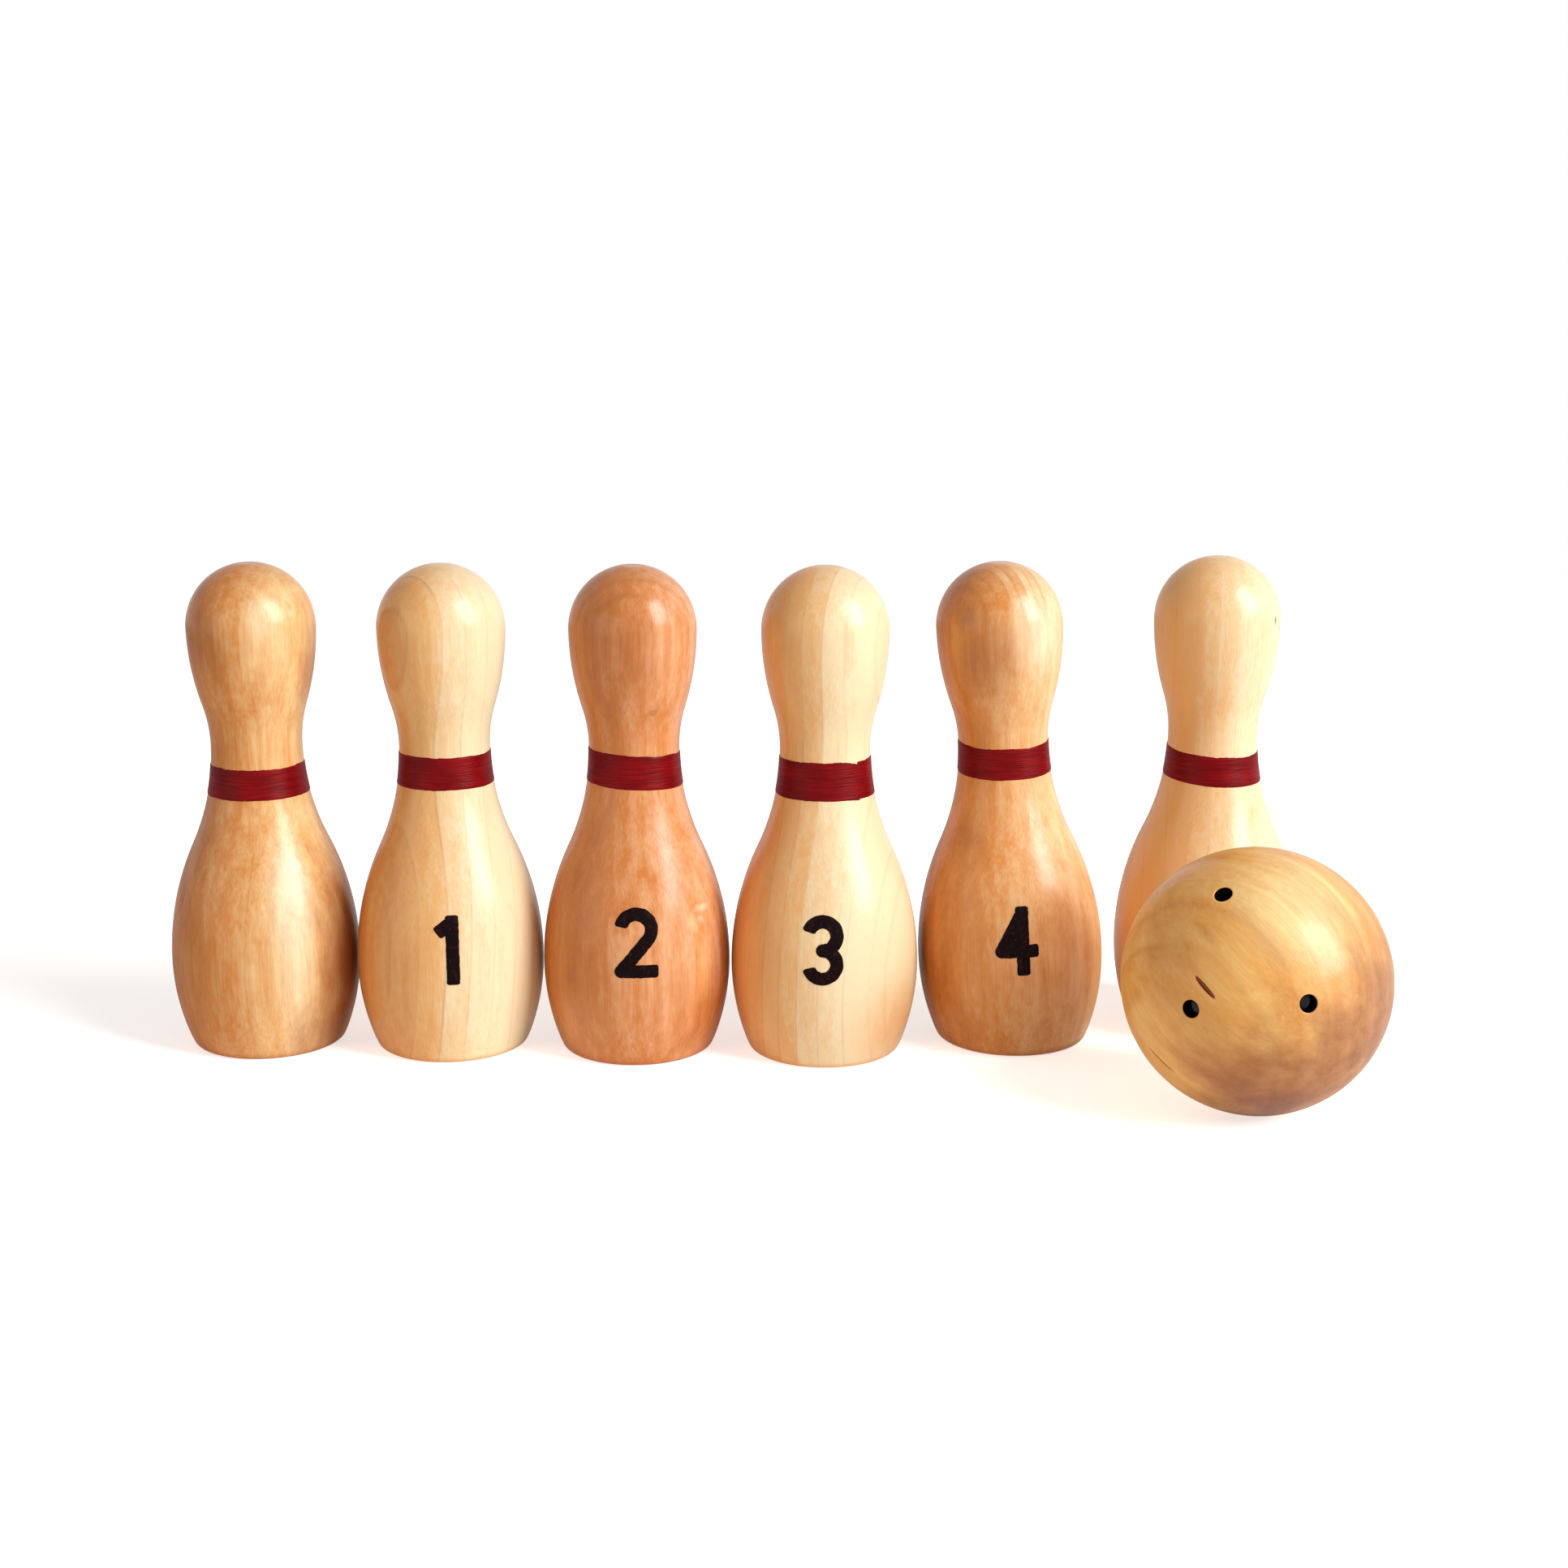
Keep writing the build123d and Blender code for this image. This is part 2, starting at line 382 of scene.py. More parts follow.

# How each blank looks. The pith has a distance from the pin's middle and a bearing. The side painted
# paler, as painted light towards the key lamp, has a strength and a bearing. A ring has its distance past
# the pin's middle, the strength of its dark line and the step in tone there. A mark has its middle, size,
# strength and colour; some marks are painted shade or painted highlights, as noted at each.
pale_wood = {
    "deep": (226, 144, 74), "middle": (242, 184, 116), "pale": (249, 228, 186), "line": (190, 108, 46),
    "gloss_blur": 0.24,
    "tone": 0.55, "painted_light_side": (0.4, 75),
    "pith": (150, -90), "pith_lean": (0, 0), "wander": 1.0, "line_width": 0.45, "ring_start": (-60, -50),
    "ring_tone": 0.12, "streaks": 0.14, "fibres": 0.12, "mottle": 0.07, "speckle": 0.08,
    "flecks": 0.15, "ends": (0.0, pin_height), "end_tone": 0.4,
    "crown_reach": 9.0, "foot_reach": 2.2, "marks": (),
}
brown_wood = {
    **pale_wood, "deep": (184, 98, 30), "middle": (226, 146, 72), "pale": (250, 216, 164),
    "line": (150, 80, 36), "mottle": 0.1, "streaks": 0.16,
}
pin_looks = {
    1: {
        **brown_wood, "deep": (176, 88, 14), "middle": (222, 140, 64), "pale": (250, 214, 154),
        "tone": 0.46, "painted_light_side": (0.44, 55),
        "pith": (150, -100), "rings": ((-9.0, 0.1, 0.0), (5.0, 0.1, 0.0)),
        "marks": ((on_pin(52, 105.5), (1.1, 1.1, 1.8), 0.35, (200, 110, 60)),
                  (on_pin(-45, 97), (12, 12, 12), 0.5, (160, 88, 34)),
                  (on_pin(78, 92), (6, 6, 16), 0.5, (176, 108, 58)),
                  # Painted highlights: pale streaks where the key lamp shines back, on the belly and on the
                  # head.
                  (on_pin(31, 38), (7, 7, 42), 0.75, (254, 238, 202)),
                  (on_pin(22, 104), (5, 5, 9), 0.5, (253, 230, 186)),
                  # Painted shade: the right of the belly and foot darkened where the second pin blocks the
                  # key lamp.
                  (on_pin(72, 22), (15, 15, 36), 0.95, (160, 90, 42)),
                  (on_pin(58, 6), (14, 14, 16), 0.7, (164, 96, 46))),
    },
    2: {
        **pale_wood, "pith": (70.6, -58.7), "pith_lean": (0.138, 0.122),
        "rings": ((-19.8, 0.15, 0.0), (-14.4, 0.2, 0.08), (-8.5, 0.4, 0.22), (-2.9, 0.2, 0.06),
                  (2.6, 0.12, 0.0), (8.0, 0.12, 0.0), (13.5, 0.12, 0.0)),
    },
    3: {
        **brown_wood, "deep": (184, 94, 30), "middle": (214, 130, 62), "pale": (246, 192, 148),
        "painted_light_side": (0.3, 65), "tone": 0.48, "streaks": 0.18,
        "pith": (45, -173), "line_width": 0.9, "ring_start": (98, 106),
        "rings": ((8.2, 0.22, 0.0), (11.6, 0.18, 0.0)),
        "marks": ((on_pin(-80, 60), (12, 12, 70), 0.7, (232, 152, 92)),
                  (on_pin(-8, 97), (11, 11, 17), 0.6, (184, 108, 58)),
                  (on_pin(52, 10), (18, 18, 17), 0.85, (206, 122, 60)),
                  (on_pin(25.2, 82), (1.3, 1.3, 1.0), 0.5, (150, 86, 46)),
                  (on_pin(25.2, 82), (0.6, 0.6, 0.5), 0.7, (210, 146, 98)),
                  # Painted highlights: the two bright lobes where the walls of the dent catch the key lamp.
                  (on_pin(43.5, 34.2), (2.0, 2.0, 3.6), 0.6, (254, 232, 186)),
                  (on_pin(52, 36.8), (3.4, 3.4, 1.3), 0.6, (254, 232, 186)),
                  (on_pin(47, 24), (2.6, 2.6, 12), 0.35, (240, 176, 100)),
                  # Painted light: the lower left painted paler, as if lit from the floor.
                  (on_pin(-40, 8), (16, 16, 12), 0.5, (232, 156, 96))),
    },
    4: {
        **pale_wood, "deep": (236, 156, 88), "tone": 0.64, "pith": (150, -102), "pith_lean": (0, 0.045),
        "rings": ((-15.0, 0.15, 0.0), (-10.5, 0.2, 0.08), (-6.1, 0.2, 0.06), (-1.7, 0.25, 0.22),
                  (3.2, 0.15, 0.05), (8.7, 0.15, 0.04), (13.9, 0.12, 0.0), (16.7, 0.1, 0.0),
                  (21.0, 0.12, 0.0)),
        "marks": ((on_pin(52, 9), (15, 15, 15), 0.7, (234, 168, 104)),),
    },
    5: {
        **brown_wood, "middle": (228, 148, 74), "painted_light_side": (0.45, 75), "pith": (42, -50), "wander": 2.4,
        "ring_start": (100, 107), "line_width": 0.6,
        "rings": ((-10.5, 0.2, 0.05), (-8.0, 0.25, -0.06), (-5.5, 0.25, 0.14), (-3.2, 0.3, -0.1),
                  (-1.2, 0.35, 0.12), (1.0, 0.3, -0.08), (3.2, 0.25, 0.06), (5.5, 0.2, 0.0)),
        "marks": ((on_pin(-38, 103), (4.5, 4.5, 3.5), 0.4, (168, 100, 50)),
                  (on_pin(-15, 94), (10, 10, 14), 0.6, (180, 110, 56)),
                  (on_pin(-88, 14), (9, 9, 14), 0.8, (170, 90, 34)),
                  # Painted highlight on the right of the head.
                  (on_pin(40, 99), (9, 9, 13), 0.7, (253, 236, 200)),
                  (on_pin(-75, 60), (9, 9, 60), 0.5, (240, 150, 86)),
                  # Painted shade on the right of the belly, where the ball and the sixth pin block the key
                  # lamp.
                  (on_pin(38, 28), (20, 20, 27), 0.75, (208, 134, 78)),
                  (on_pin(-42, 52), (5.0, 5.0, 9.0), 0.3, (182, 106, 54))),
    },
    6: {
        **pale_wood, "deep": (250, 180, 116), "tone": 0.64, "painted_light_side": (0.28, 75),
        "pith": (150, -95), "pith_lean": (0, 0.01),
        "rings": ((-16.0, 0.08, 0.0), (-11.0, 0.1, 0.03), (-6.0, 0.12, 0.05), (-1.0, 0.12, 0.1),
                  (4.0, 0.1, 0.04), (9.0, 0.1, 0.0)),
        "marks": ((on_pin(55, 100.4), (0.7, 0.7, 1.3), 0.9, (120, 84, 44)),),
    },
}
feet = {}
for mount in frame["record"]["mounts"]:
    feet[mount["name"].removesuffix("_foot")] = Vector(mount["pos_m"])
stands = {}
for number in pin_numbers:
    lean = math.radians(leans.get(number, 0))
    name = f"pin_{number}"
    stands[number] = Matrix.Translation(feet[name]) @ Matrix.Rotation(lean, 4, "Y")
    finish = wood(f"{name}_varnished_wood", feet[name], (0, lean, 0), pin_looks[number], number * 10)
    turned = turn_on_lathe(pin_outline(), pin_steps)
    saw_foot(turned, stands[number])
    if number == 3:
        press_dent(turned)
    pin = set_in_place(turned, f"{name}_turned", stands[number], finish, name)
    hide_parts(name)


# The neck bands
# A band of red gloss enamel is brushed by hand round each neck, so its edges waver, it dips where
# the hand slipped, and the brush has left fine streaks along it.
band_width = 7.5
band_proud = 0.16
band_sunk = 0.05
band_steps = 288
band_rows = 12
thin_edge_share = 0.35
edge_rise = ((0, thin_edge_share), (0.015, 0.75), (0.045, 1))
edge_waver = ((2, 0.24), (12, 0.1), (30, 0.07))
low_edge_waver_share = 0.5
band_low_edges = {1: 0.841, 2: 0.880, 3: 0.888, 4: 0.857, 5: 0.909, 6: 0.857}
band_widths = {1: 0.93, 2: 1.00, 3: 1.03, 4: 1.16, 5: 0.97, 6: 0.92}
band_front_dips = {5: 3.4, 6: 3.6}
band_right_dips = {3: 3.4, 5: 1.3, 6: 2.8}
band_joins = {1: 150, 2: 190, 3: 170, 4: 43, 5: 205, 6: 160}
join_span = 26
join_drop = 0.6


def waver(bearing, seed):
    """How far a brushed edge strays at a bearing round the neck, the same after a full turn."""
    stray = 0
    for count, size in edge_waver:
        ring = Vector((math.cos(bearing), math.sin(bearing), 0)) * count
        stray += size * noise.noise(ring + Vector((0, 0, seed * 1.7)))
    before_join = (band_joins[seed % 10] - math.degrees(bearing)) % 360
    if before_join < join_span:
        stray -= join_drop * (1 - before_join / join_span) ** 2
    return stray


def band_shape(number):
    """A closed coat of paint, spun as a flat hoop and then laid on the neck between its two edges."""
    hoop = bmesh.new()
    edge = [(share, proud * band_proud) for share, proud in edge_rise]
    rows = [(row / band_rows, band_proud) for row in range(1, band_rows)]
    far_edge = [(1 - share, proud) for share, proud in edge[::-1]]
    section = [(0, -band_sunk), *edge, *rows, *far_edge, (1, -band_sunk)]
    points = [hoop.verts.new((1 + proud, 0, share)) for share, proud in section]
    edges = [hoop.edges.new(pair) for pair in zip(points, points[1:] + points[:1])]
    bmesh.ops.spin(hoop, geom=points + edges, cent=(0, 0, 0), axis=(0, 0, 1), angle=math.tau,
                   steps=band_steps, use_merge=True)
    bmesh.ops.recalc_face_normals(hoop, faces=hoop.faces)
    front_dip = math.tan(math.radians(band_front_dips.get(number, 0)))
    right_dip = math.tan(math.radians(band_right_dips.get(number, 0)))
    low_edge = neck_height * band_low_edges[number]
    for point in hoop.verts:
        bearing = math.atan2(point.co.x, -point.co.y)
        proud = math.hypot(point.co.x, point.co.y) - 1
        tilt = -(math.cos(bearing) * front_dip + math.sin(bearing) * right_dip) * neck_radius
        low = low_edge + tilt + waver(bearing, number) * low_edge_waver_share
        high = low_edge + tilt + band_width * band_widths[number] + waver(bearing, number + 10)
        height = low + (high - low) * point.co.z
        radius = radius_at(height) + proud
        point.co = (math.sin(bearing) * radius, -math.cos(bearing) * radius, height)
    return hoop


def enamel():
    """Dark red gloss enamel with streaks of the brush along the band."""
    material, tree = start_material("red_enamel")
    point = in_millimetres(tree)
    brushing = figure(tree, point, (9, 9, 0.35), 3)
    patches = figure(tree, point, (6, 6, 3), 4)
    colour = mix_colours(tree, brushing, srgb(118, 4, 9), srgb(146, 12, 18))
    colour = mix_colours(tree, calculate(tree, "MULTIPLY", patches, 0.5), colour, srgb(90, 0, 5))
    bump = add_node(tree, "Bump", {"Height": brushing, "Strength": 0.8, "Distance": 0.00006}).outputs[0]
    shader = add_node(tree, "BsdfPrincipled", {
        "Base Color": colour, "Roughness": 0.4, "Normal": bump, "Specular IOR Level": 0.02,
        "Coat Weight": 0.16, "Coat Roughness": 0.34, "Coat IOR": 1.5, "Coat Normal": bump,
    })
    add_node(tree, "OutputMaterial", {"Surface": shader.outputs[0]})
    return material


red_enamel = enamel()
for number in pin_numbers:
    name = f"pin_{number}_neck_band"
    band = set_in_place(band_shape(number), f"{name}_enamel", stands[number], red_enamel,
                        f"pin_{number}")
    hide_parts(name)


# The numerals
# A numeral from 1 to 4 is brushed in black on the belly of each middle pin, with single blunt strokes
# of a flat brush. The paint stands a little proud of the wood, and thins where the brush ran dry.
numeral_half_width = 3.5
numeral_half_height = 6.5
stroke_width = 3.0
blunt_end = stroke_width / 2
stroke_spacing = 0.2
stroke_waver = 0.07
corner_easing = 0.55
paint_proud = 0.16
paint_sunk = 0.06
paint_edge = 0.14
paint_grid = 0.8
grid_reach = 12
flag_share = 0.6
stem_share = 0.4
bar_share = 0.35
point_spacing = 0.02
inside_only = 1
numerals = {2: 1, 3: 2, 4: 3, 5: 4}
numeral_bearings = {2: 9.4, 3: 3.3, 4: -2.1, 5: -0.4}
numeral_heights = {2: 28.4, 3: 30.7, 4: 29.5, 5: 29.3}


def straight_stroke(start, end):
    """Points along a straight stroke."""
    start, end = Vector(start), Vector(end)
    steps = max(2, round((end - start).length / stroke_spacing))
    return [start.lerp(end, step / steps) for step in range(steps + 1)]


def bowed_stroke(centre, radius, start, sweep):
    """Points along a round stroke, from a start angle over a sweep in degrees."""
    steps = round(math.radians(abs(sweep)) * radius / stroke_spacing)
    angles = [math.radians(start + sweep * step / steps) for step in range(steps + 1)]
    return [Vector(centre) + radius * Vector((math.cos(angle), math.sin(angle))) for angle in angles]


def strokes_of(digit):
    """The brush strokes of a digit about its middle, and the joints where the brush turned."""
    wide, high = numeral_half_width, numeral_half_height
    top, bottom = high + blunt_end, -high - blunt_end
    if digit == 1:
        joints = [(0, high)]
        strokes = [straight_stroke((0, top), (0, bottom)),
                   straight_stroke(joints[0], (-wide, high * flag_share))]
    elif digit == 2:
        bow = bowed_stroke((0, high - wide), wide, 170, -205)
        joints = [bow[-1], (-wide, -high)]
        strokes = [bow, straight_stroke(*joints), straight_stroke(joints[1], (wide + blunt_end, -high))]
    elif digit == 3:
        bow = high / 2
        joints = [(0, 0)]
        strokes = [bowed_stroke((0, bow), bow, 165, -255), bowed_stroke((0, -bow), bow, 90, -255)]
    elif digit == 4:
        stem, bar = wide * stem_share, -high * bar_share
        joints = [(stem, high), (-wide, bar)]
        strokes = [straight_stroke(*joints), straight_stroke(joints[1], (wide + blunt_end, bar)),
                   straight_stroke((stem, top), (stem, bottom))]
    return strokes, joints


def brushed_outline(stroke, seed):
    """The outline of one stroke, with blunt ends and sides that waver as the brush was turned."""
    left, right = [], []
    for index, point in enumerate(stroke):
        last = len(stroke) - 1
        ahead = stroke[min(index + 1, last)] - stroke[max(index - 1, 0)]
        from_end = min((point - stroke[0]).length, (point - stroke[-1]).length, corner_easing)
        corner = corner_easing - math.sqrt(corner_easing ** 2 - (corner_easing - from_end) ** 2)
        side = Vector((-ahead.y, ahead.x)).normalized() * (blunt_end - corner)
        along = index * stroke_spacing
        left.append(point + side * (1 + stroke_waver * noise.noise((along, seed, 1.7))))
        right.append(point - side * (1 + stroke_waver * noise.noise((along, seed, 8.2))))
    return right + left[::-1]


def merged_outlines(outlines):
    """One flat sheet that covers all the outlines, as strokes of wet paint run together."""
    # Blender's triangulation of flat outlines joins them, because no mesh operator does.
    points = [point for outline in outlines for point in outline]
    loops = []
    for outline in outlines:
        first = sum(len(loop) for loop in loops)
        loops.append(list(range(first, first + len(outline))))
    filled = delaunay_2d_cdt(points, [], loops, inside_only, merge_distance)
    sheet = bmesh.new()
    corners = [sheet.verts.new((corner.x, 0, corner.y)) for corner in filled[0]]
    for triangle in filled[2]:
        sheet.faces.new([corners[index] for index in triangle])
    return sheet


def numeral_shape(number):
    """A closed coat of paint in the shape of the pin's digit, laid on the curve of its belly."""
    strokes, joints = strokes_of(numerals[number])
    outlines = [brushed_outline(stroke, number * 10 + index) for index, stroke in enumerate(strokes)]
    outlines += [bowed_stroke(joint, blunt_end, 0, 360)[:-1] for joint in joints]
    coat = merged_outlines(outlines)
    bmesh.ops.remove_doubles(coat, verts=coat.verts, dist=point_spacing)
    for line in range(-grid_reach, grid_reach + 1):
        for across in ((1, 0, 0), (0, 0, 1)):
            everything = coat.verts[:] + coat.edges[:] + coat.faces[:]
            bmesh.ops.bisect_plane(coat, geom=everything, dist=point_spacing,
                                   plane_co=Vector(across) * line * paint_grid, plane_no=across)
    bmesh.ops.inset_region(coat, faces=coat.faces[:], thickness=paint_edge, use_even_offset=False)
    rim = {point for edge in coat.edges if edge.is_boundary for point in edge.verts}
    backing = bmesh.ops.extrude_face_region(coat, geom=coat.faces[:], use_keep_orig=True)["geom"]
    backing = {part for part in backing if isinstance(part, bmesh.types.BMVert)}
    facing = towards(numeral_bearings[number])
    right = towards(numeral_bearings[number] + 90)
    for point in coat.verts:
        proud = -paint_sunk if point in backing else paint_proud * (thin_edge_share if point in rim else 1)
        height = numeral_heights[number] + point.co.z
        radius = radius_at(height)
        shift = point.co.x
        on_wood = right * shift + facing * math.sqrt(radius ** 2 - shift ** 2)
        point.co = on_wood * (1 + proud / radius) + Vector((0, 0, height))
    bmesh.ops.recalc_face_normals(coat, faces=coat.faces)
    return coat


def black_paint():
    """Black brush paint that shows brown where it is thin."""
    material, tree = start_material("black_paint")
    point = in_millimetres(tree)
    thin = figure(tree, point, (1.3, 1.3, 1.8), 21, detail=4.0, low=0.52, high=0.72)
    specks = figure(tree, point, (0.45, 0.45, 0.45), 22, detail=2.0, low=0.62, high=0.72)
    colour = mix_colours(tree, calculate(tree, "MULTIPLY", thin, 0.6), srgb(17, 5, 8), srgb(58, 26, 16))
    colour = mix_colours(tree, calculate(tree, "MULTIPLY", specks, 0.5), colour, srgb(86, 44, 24))
    bump = add_node(tree, "Bump", {"Height": thin, "Strength": 0.5, "Distance": 0.00005}).outputs[0]
    shader = add_node(tree, "BsdfPrincipled", {
        "Base Color": colour, "Roughness": 0.5, "Normal": bump, "Specular IOR Level": 0.06,
    })
    add_node(tree, "OutputMaterial", {"Surface": shader.outputs[0]})
    return material


brush_black = black_paint()
for number in numerals:
    name = f"pin_{number}_numeral"
    digit = set_in_place(numeral_shape(number), f"{name}_brushed", stands[number], brush_black,
                         f"pin_{number}")
    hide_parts(name)


# The ball
# The ball is turned from a block of the same wood as the darker pins, drilled with three shallow
# finger holes whose insides are stained black, and has two small drying checks along its fibres.
ball_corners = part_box("ball")
ball_middle = (ball_corners[0] + ball_corners[1]) / 2
ball_radius = (ball_corners[1].z - ball_corners[0].z) / 2 / millimetre
hole_radius = 1.9
hole_depth = 4.0
drill_point = 1.14
drill_overrun = 1.0
drill_steps = 64
hole_easing = 0.3
easing_steps = 6
mouth_dip = 0.08
stain_depths = (0.3, 0.06)
stain_margins = (0.1, 0.3)
finger_hole_aims = ((-37.5, 52.9), (-38.7, 1.7), (9.9, 7.6))
check_lift = 0.1
drying_checks = (((-38.6, 15.9), (-28.1, 7.6), 1.1, 0.6), ((-66.8, -22.5), (-52.5, -33.0), 0.5, 0.45))
fibre_aim = (49.6, -36.0)
ring_aim = (-62.0, -26.7)


def finger_drill(aim):
    """The shape that a drill and a rounding cutter take out of the ball, along an aim."""
    ease_middle = Vector((hole_radius + hole_easing, -mouth_dip - hole_easing))
    outline = [(0, -hole_depth - drill_point), (hole_radius, -hole_depth)]
    for step in range(easing_steps + 1):
        turn = math.radians(180 - 90 * step / easing_steps)
        radius = ease_middle.x + hole_easing * math.cos(turn)
        outline.append((radius, ease_middle.y + hole_easing * math.sin(turn)))
    outline += [(ease_middle.x, drill_overrun), (0, drill_overrun)]
    drill = turn_on_lathe(outline, drill_steps)
    facing = aim.to_track_quat("Z", "Y").to_matrix().to_4x4()
    bmesh.ops.transform(drill, matrix=facing @ Matrix.Translation((0, 0, ball_radius)), verts=drill.verts)
    return drill


def drying_check(start, end, width, depth):
    """The lens shape of a check that opened along the fibres, from one point of the ball to another."""
    start, end = towards(*start) * ball_radius, towards(*end) * ball_radius
    along = (end - start).normalized()
    middle = (start + end).normalized() * ball_radius
    outward = (middle - middle.dot(along) * along).normalized()
    lens = bmesh.new()
    bmesh.ops.create_icosphere(lens, subdivisions=4, radius=1)
    bmesh.ops.scale(lens, vec=(width / 2, depth, (end - start).length / 2), verts=lens.verts)
    facing = Matrix((outward.cross(along), outward, along)).transposed().to_4x4()
    place = Matrix.Translation((start + end) / 2 + outward * check_lift)
    bmesh.ops.transform(lens, matrix=place @ facing, verts=lens.verts)
    return lens


def cut_away(blank, cutters):
    """The blank with the shapes of the cutters taken out of it."""
    parts = []
    for index, shape in enumerate([blank] + cutters):
        mesh = bpy.data.meshes.new(f"ball_{index}")
        shape.to_mesh(mesh)
        shape.free()
        parts.append(bpy.data.objects.new(mesh.name, mesh))
        bpy.context.scene.collection.objects.link(parts[-1])
    for part in parts[1:]:
        cut = parts[0].modifiers.new(part.name, "BOOLEAN")
        cut.operation = "DIFFERENCE"
        cut.solver = "EXACT"
        cut.object = part
    bpy.context.view_layer.update()
    whole = bmesh.new()
    whole.from_object(parts[0], bpy.context.evaluated_depsgraph_get())
    for part in parts:
        bpy.data.meshes.remove(part.data)
    return whole


def ball_shape():
    """The turned ball with its finger holes drilled and its checks opened."""
    blank = bmesh.new()
    bmesh.ops.create_icosphere(blank, subdivisions=7, radius=ball_radius)
    cutters = [finger_drill(towards(*aim)) for aim in finger_hole_aims]
    cutters += [drying_check(*check) for check in drying_checks]
    return cut_away(blank, cutters)


ball_turn = Matrix((towards(*ring_aim), towards(*fibre_aim).cross(towards(*ring_aim)),
                    towards(*fibre_aim))).transposed()


def on_ball(bearing, elevation):
    """The point of the ball's surface at a bearing and an elevation, in the directions of its wood."""
    return ball_turn.inverted() @ (towards(bearing, elevation) * ball_radius)


ball_look = {
    **brown_wood, "deep": (208, 124, 52), "middle": (240, 171, 86), "pale": (252, 208, 130),
    "line": (178, 100, 44), "tone": 0.56, "painted_light_side": (0.0, 0), "mottle": 0.14, "streaks": 0.18,
    "ring_tone": 0.3, "pith": (30, -90), "wander": 3.0, "line_width": 1.0, "gloss_blur": 0.29,
    "rings": ((-1.0, 0.15, -0.1), (4.5, 0.1, 0.1), (10.5, 0.1, -0.05), (16.0, 0.2, 0.1),
              (21.5, 0.2, -0.1), (26.0, 0.2, 0.0)),
    "ends": (-2 * ball_radius, 2 * ball_radius), "end_tone": 0.0,
    # Painted light: the top front of the ball painted paler, as if lit from above and to the right.
    "marks": ((on_ball(18, 50), (20, 20, 20), 0.75, (253, 230, 170)),
              (on_ball(-58, 21), (10, 10, 10), 0.45, (210, 138, 80)),
              (on_ball(-39, 34), (1.6, 1.6, 7), 0.5, (192, 116, 56)),
              (on_ball(-28, -24), (13, 13, 13), 0.65, (190, 114, 60)),
              (on_ball(54, -8), (33, 33, 33), 0.85, (166, 110, 80)),
              # Painted shade: the two lowest marks darken the underside towards the floor, over browner wood.
              (on_ball(6, -44), (26, 26, 26), 0.95, (152, 90, 56)),
              (on_ball(-8, -68), (16, 16, 16), 0.7, (122, 74, 52))),
}
ball_wood = wood("ball_varnished_wood", ball_middle, ball_turn.to_euler(), ball_look, 70)


def stain_hollows(material):
    """Stains the walls of the finger holes black and those of the checks reddish brown."""
    tree = material.node_tree
    shader = next(node for node in tree.nodes if node.type == "BSDF_PRINCIPLED")
    point = in_millimetres(tree, ball_middle)
    sunk = fade(tree, length_of(tree, point), *(ball_radius - depth for depth in stain_depths))
    colour = mix_colours(tree, sunk, shader.inputs["Base Color"].links[0].from_socket, srgb(140, 66, 20))
    for aim in finger_hole_aims:
        lever = add_node(tree, "VectorMath", {0: point, 1: towards(*aim)}, operation="CROSS_PRODUCT")
        off_axis = length_of(tree, lever.outputs[0])
        in_hole = fade(tree, off_axis, *(hole_radius + margin for margin in stain_margins))
        colour = mix_colours(tree, calculate(tree, "MULTIPLY", in_hole, sunk), colour, srgb(20, 12, 12))
    tree.links.new(colour, shader.inputs["Base Color"])


stain_hollows(ball_wood)
ball = set_in_place(ball_shape(), "ball_turned", Matrix.Translation(ball_middle), ball_wood,
                    "ball")
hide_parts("ball")


# The floor, the light and the camera
# The set stands on a plain white floor against white, under one large soft lamp from the right
# and in front, with a weaker one from the left.
def glowing_paper(tree, white, glow):
    """White paper that also shines with a little light of its own."""
    paper = add_node(tree, "BsdfDiffuse", {"Color": (white, white, white, 1)})
    light = add_node(tree, "Emission", {"Color": (1, 1, 1, 1), "Strength": glow})
    return add_node(tree, "AddShader", {0: paper.outputs[0], 1: light.outputs[0]}).outputs[0]


def white_floor():
    """A floor that shows as plain white, and lights the set about as much as white paper does."""
    material, tree = start_material("white_floor")
    seen = add_node(tree, "LightPath").outputs["Is Camera Ray"]
    lit, shown = glowing_paper(tree, 0.92, 0.15), glowing_paper(tree, 1.2, 0.62)
    paper = add_node(tree, "MixShader", {0: seen, 1: lit, 2: shown})
    add_node(tree, "OutputMaterial", {"Surface": paper.outputs[0]})
    return material


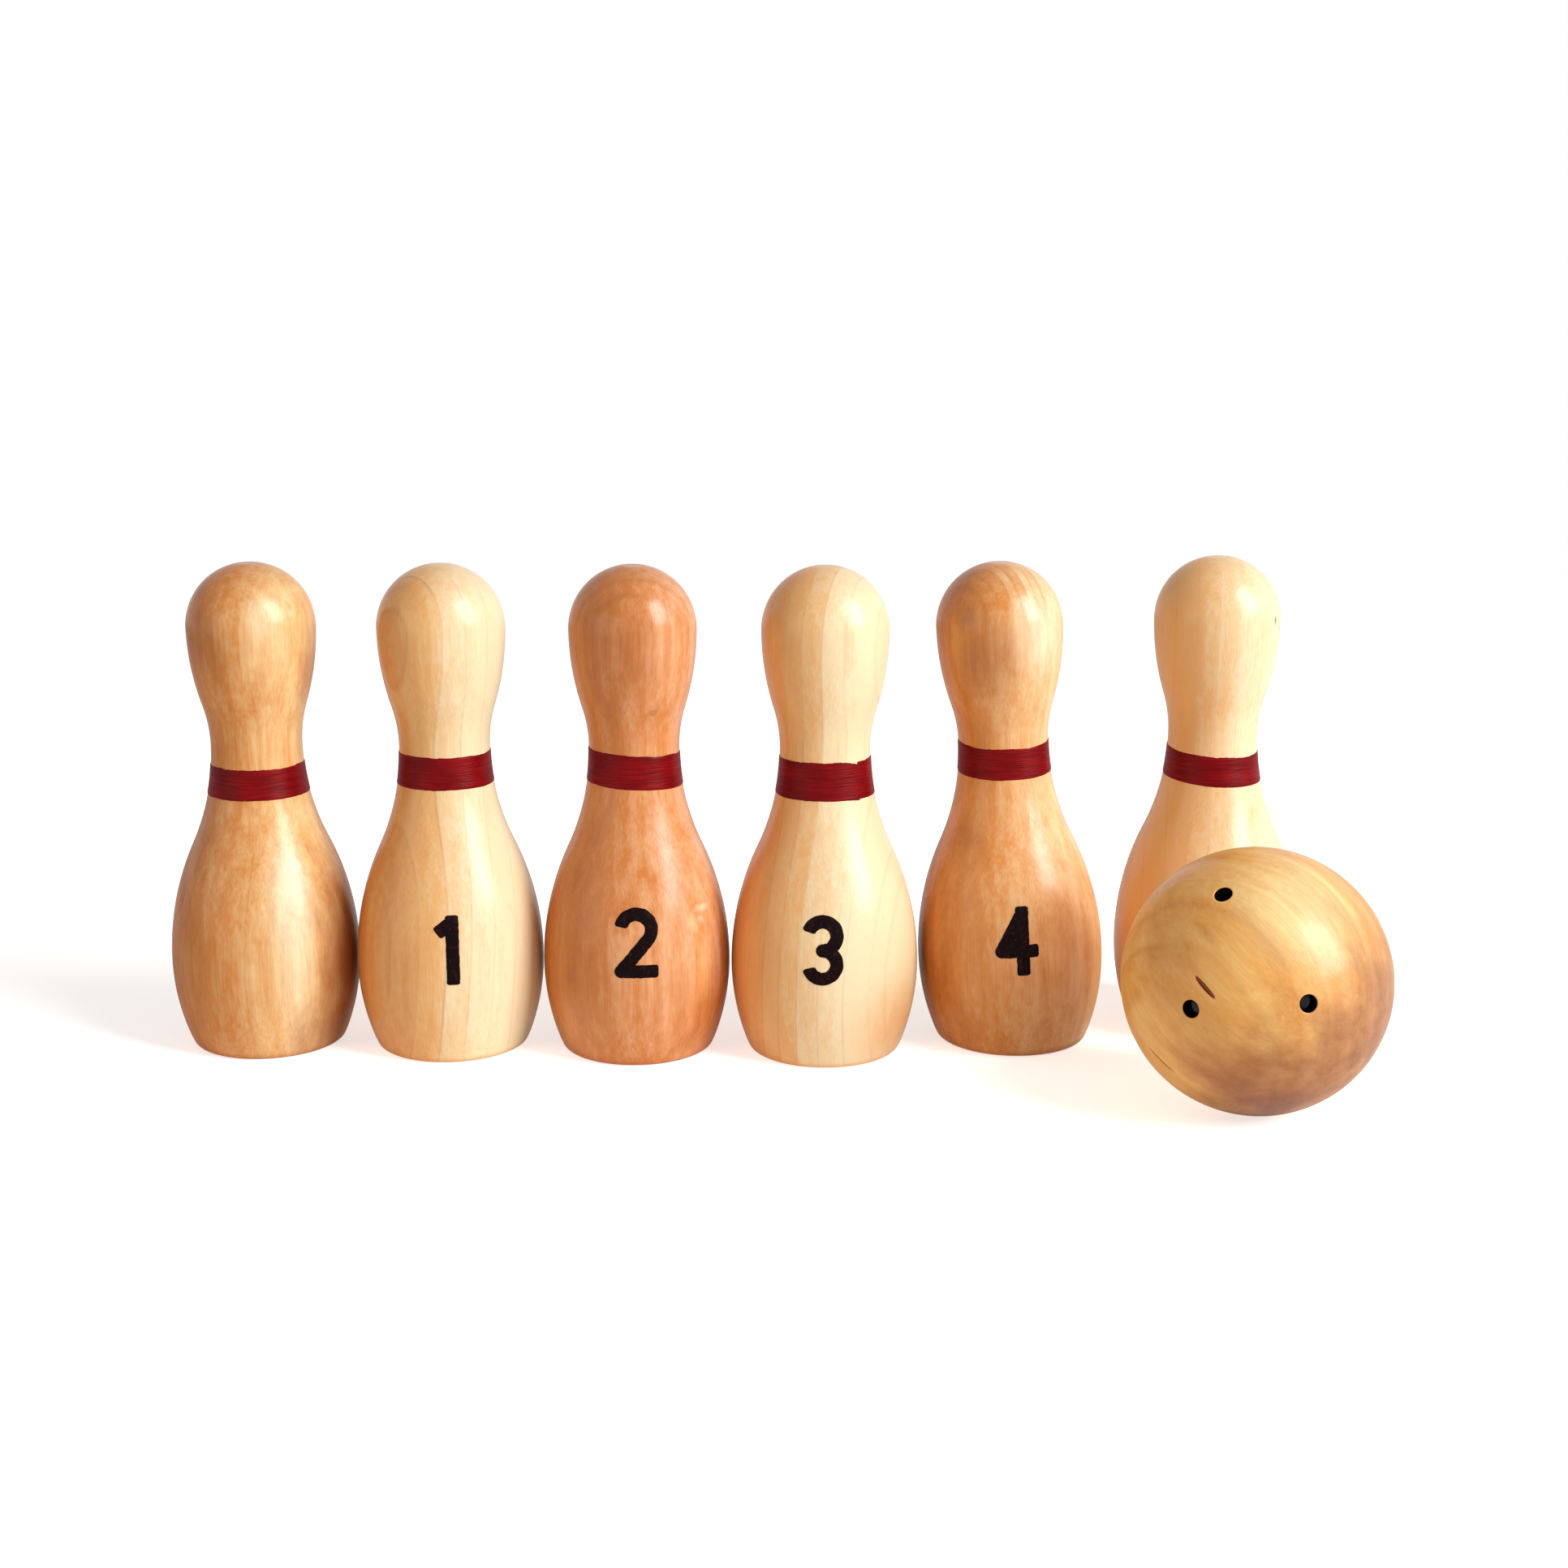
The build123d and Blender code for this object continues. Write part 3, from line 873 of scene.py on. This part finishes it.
floor_half_width = 0.9
lamp_aim_height = 0.05
camera_tilt = 12.26
sheet = bmesh.new()
bmesh.ops.create_grid(sheet, x_segments=1, y_segments=1, size=floor_half_width)
floor_mesh = bpy.data.meshes.new("floor")
sheet.to_mesh(floor_mesh)
sheet.free()
floor_mesh.materials.append(white_floor())
floor = bpy.data.objects.new("floor", floor_mesh)
bpy.context.scene.collection.objects.link(floor)

world = bpy.data.worlds.new("white_room")
bpy.context.scene.world = world
world.use_nodes = True
room = world.node_tree
room.nodes.clear()
path = add_node(room, "LightPath")
seen = calculate(room, "MAXIMUM", path.outputs["Is Camera Ray"], path.outputs["Is Glossy Ray"])
seen = calculate(room, "MAXIMUM", seen, path.outputs["Is Transmission Ray"])
fill = add_node(room, "Background", {"Color": (1, 0.94, 0.88, 1), "Strength": 0.2})
white = add_node(room, "Background", {"Color": (1, 1, 1, 1), "Strength": 1.0})
mix = add_node(room, "MixShader", {0: seen, 1: fill.outputs[0], 2: white.outputs[0]})
add_node(room, "OutputWorld", {"Surface": mix.outputs[0]})


def soft_lamp(name, bearing, elevation, distance, size, power, tint):
    """A soft lamp that shines on the middle of the set from a bearing and an elevation."""
    lamp = bpy.data.lights.new(name, "AREA")
    lamp.shape = "RECTANGLE"
    lamp.size, lamp.size_y = size
    lamp.energy = power
    lamp.color = tint
    aim = towards(bearing, elevation)
    stand = bpy.data.objects.new(name, lamp)
    stand.location = Vector((0, 0, lamp_aim_height)) + aim * distance
    stand.rotation_euler = aim.to_track_quat("Z", "Y").to_euler()
    bpy.context.scene.collection.objects.link(stand)


soft_lamp("key_lamp", 60, 32, 1.6, (0.7, 1.1), 27, (1, 1, 1))
soft_lamp("fill_lamp", -55, 8, 1.8, (1.2, 1.2), 5, (1, 0.9, 0.8))

camera_data = bpy.data.cameras.new("camera")
camera_data.lens = 53.0
camera_data.sensor_width = 36.0
camera = bpy.data.objects.new("camera", camera_data)
camera.location = (0.0068, -0.5081, 0.1774)
camera.rotation_euler = (math.radians(90 - camera_tilt), 0, 0)
bpy.context.scene.collection.objects.link(camera)
bpy.context.scene.camera = camera
bpy.context.scene.view_settings.view_transform = "Standard"
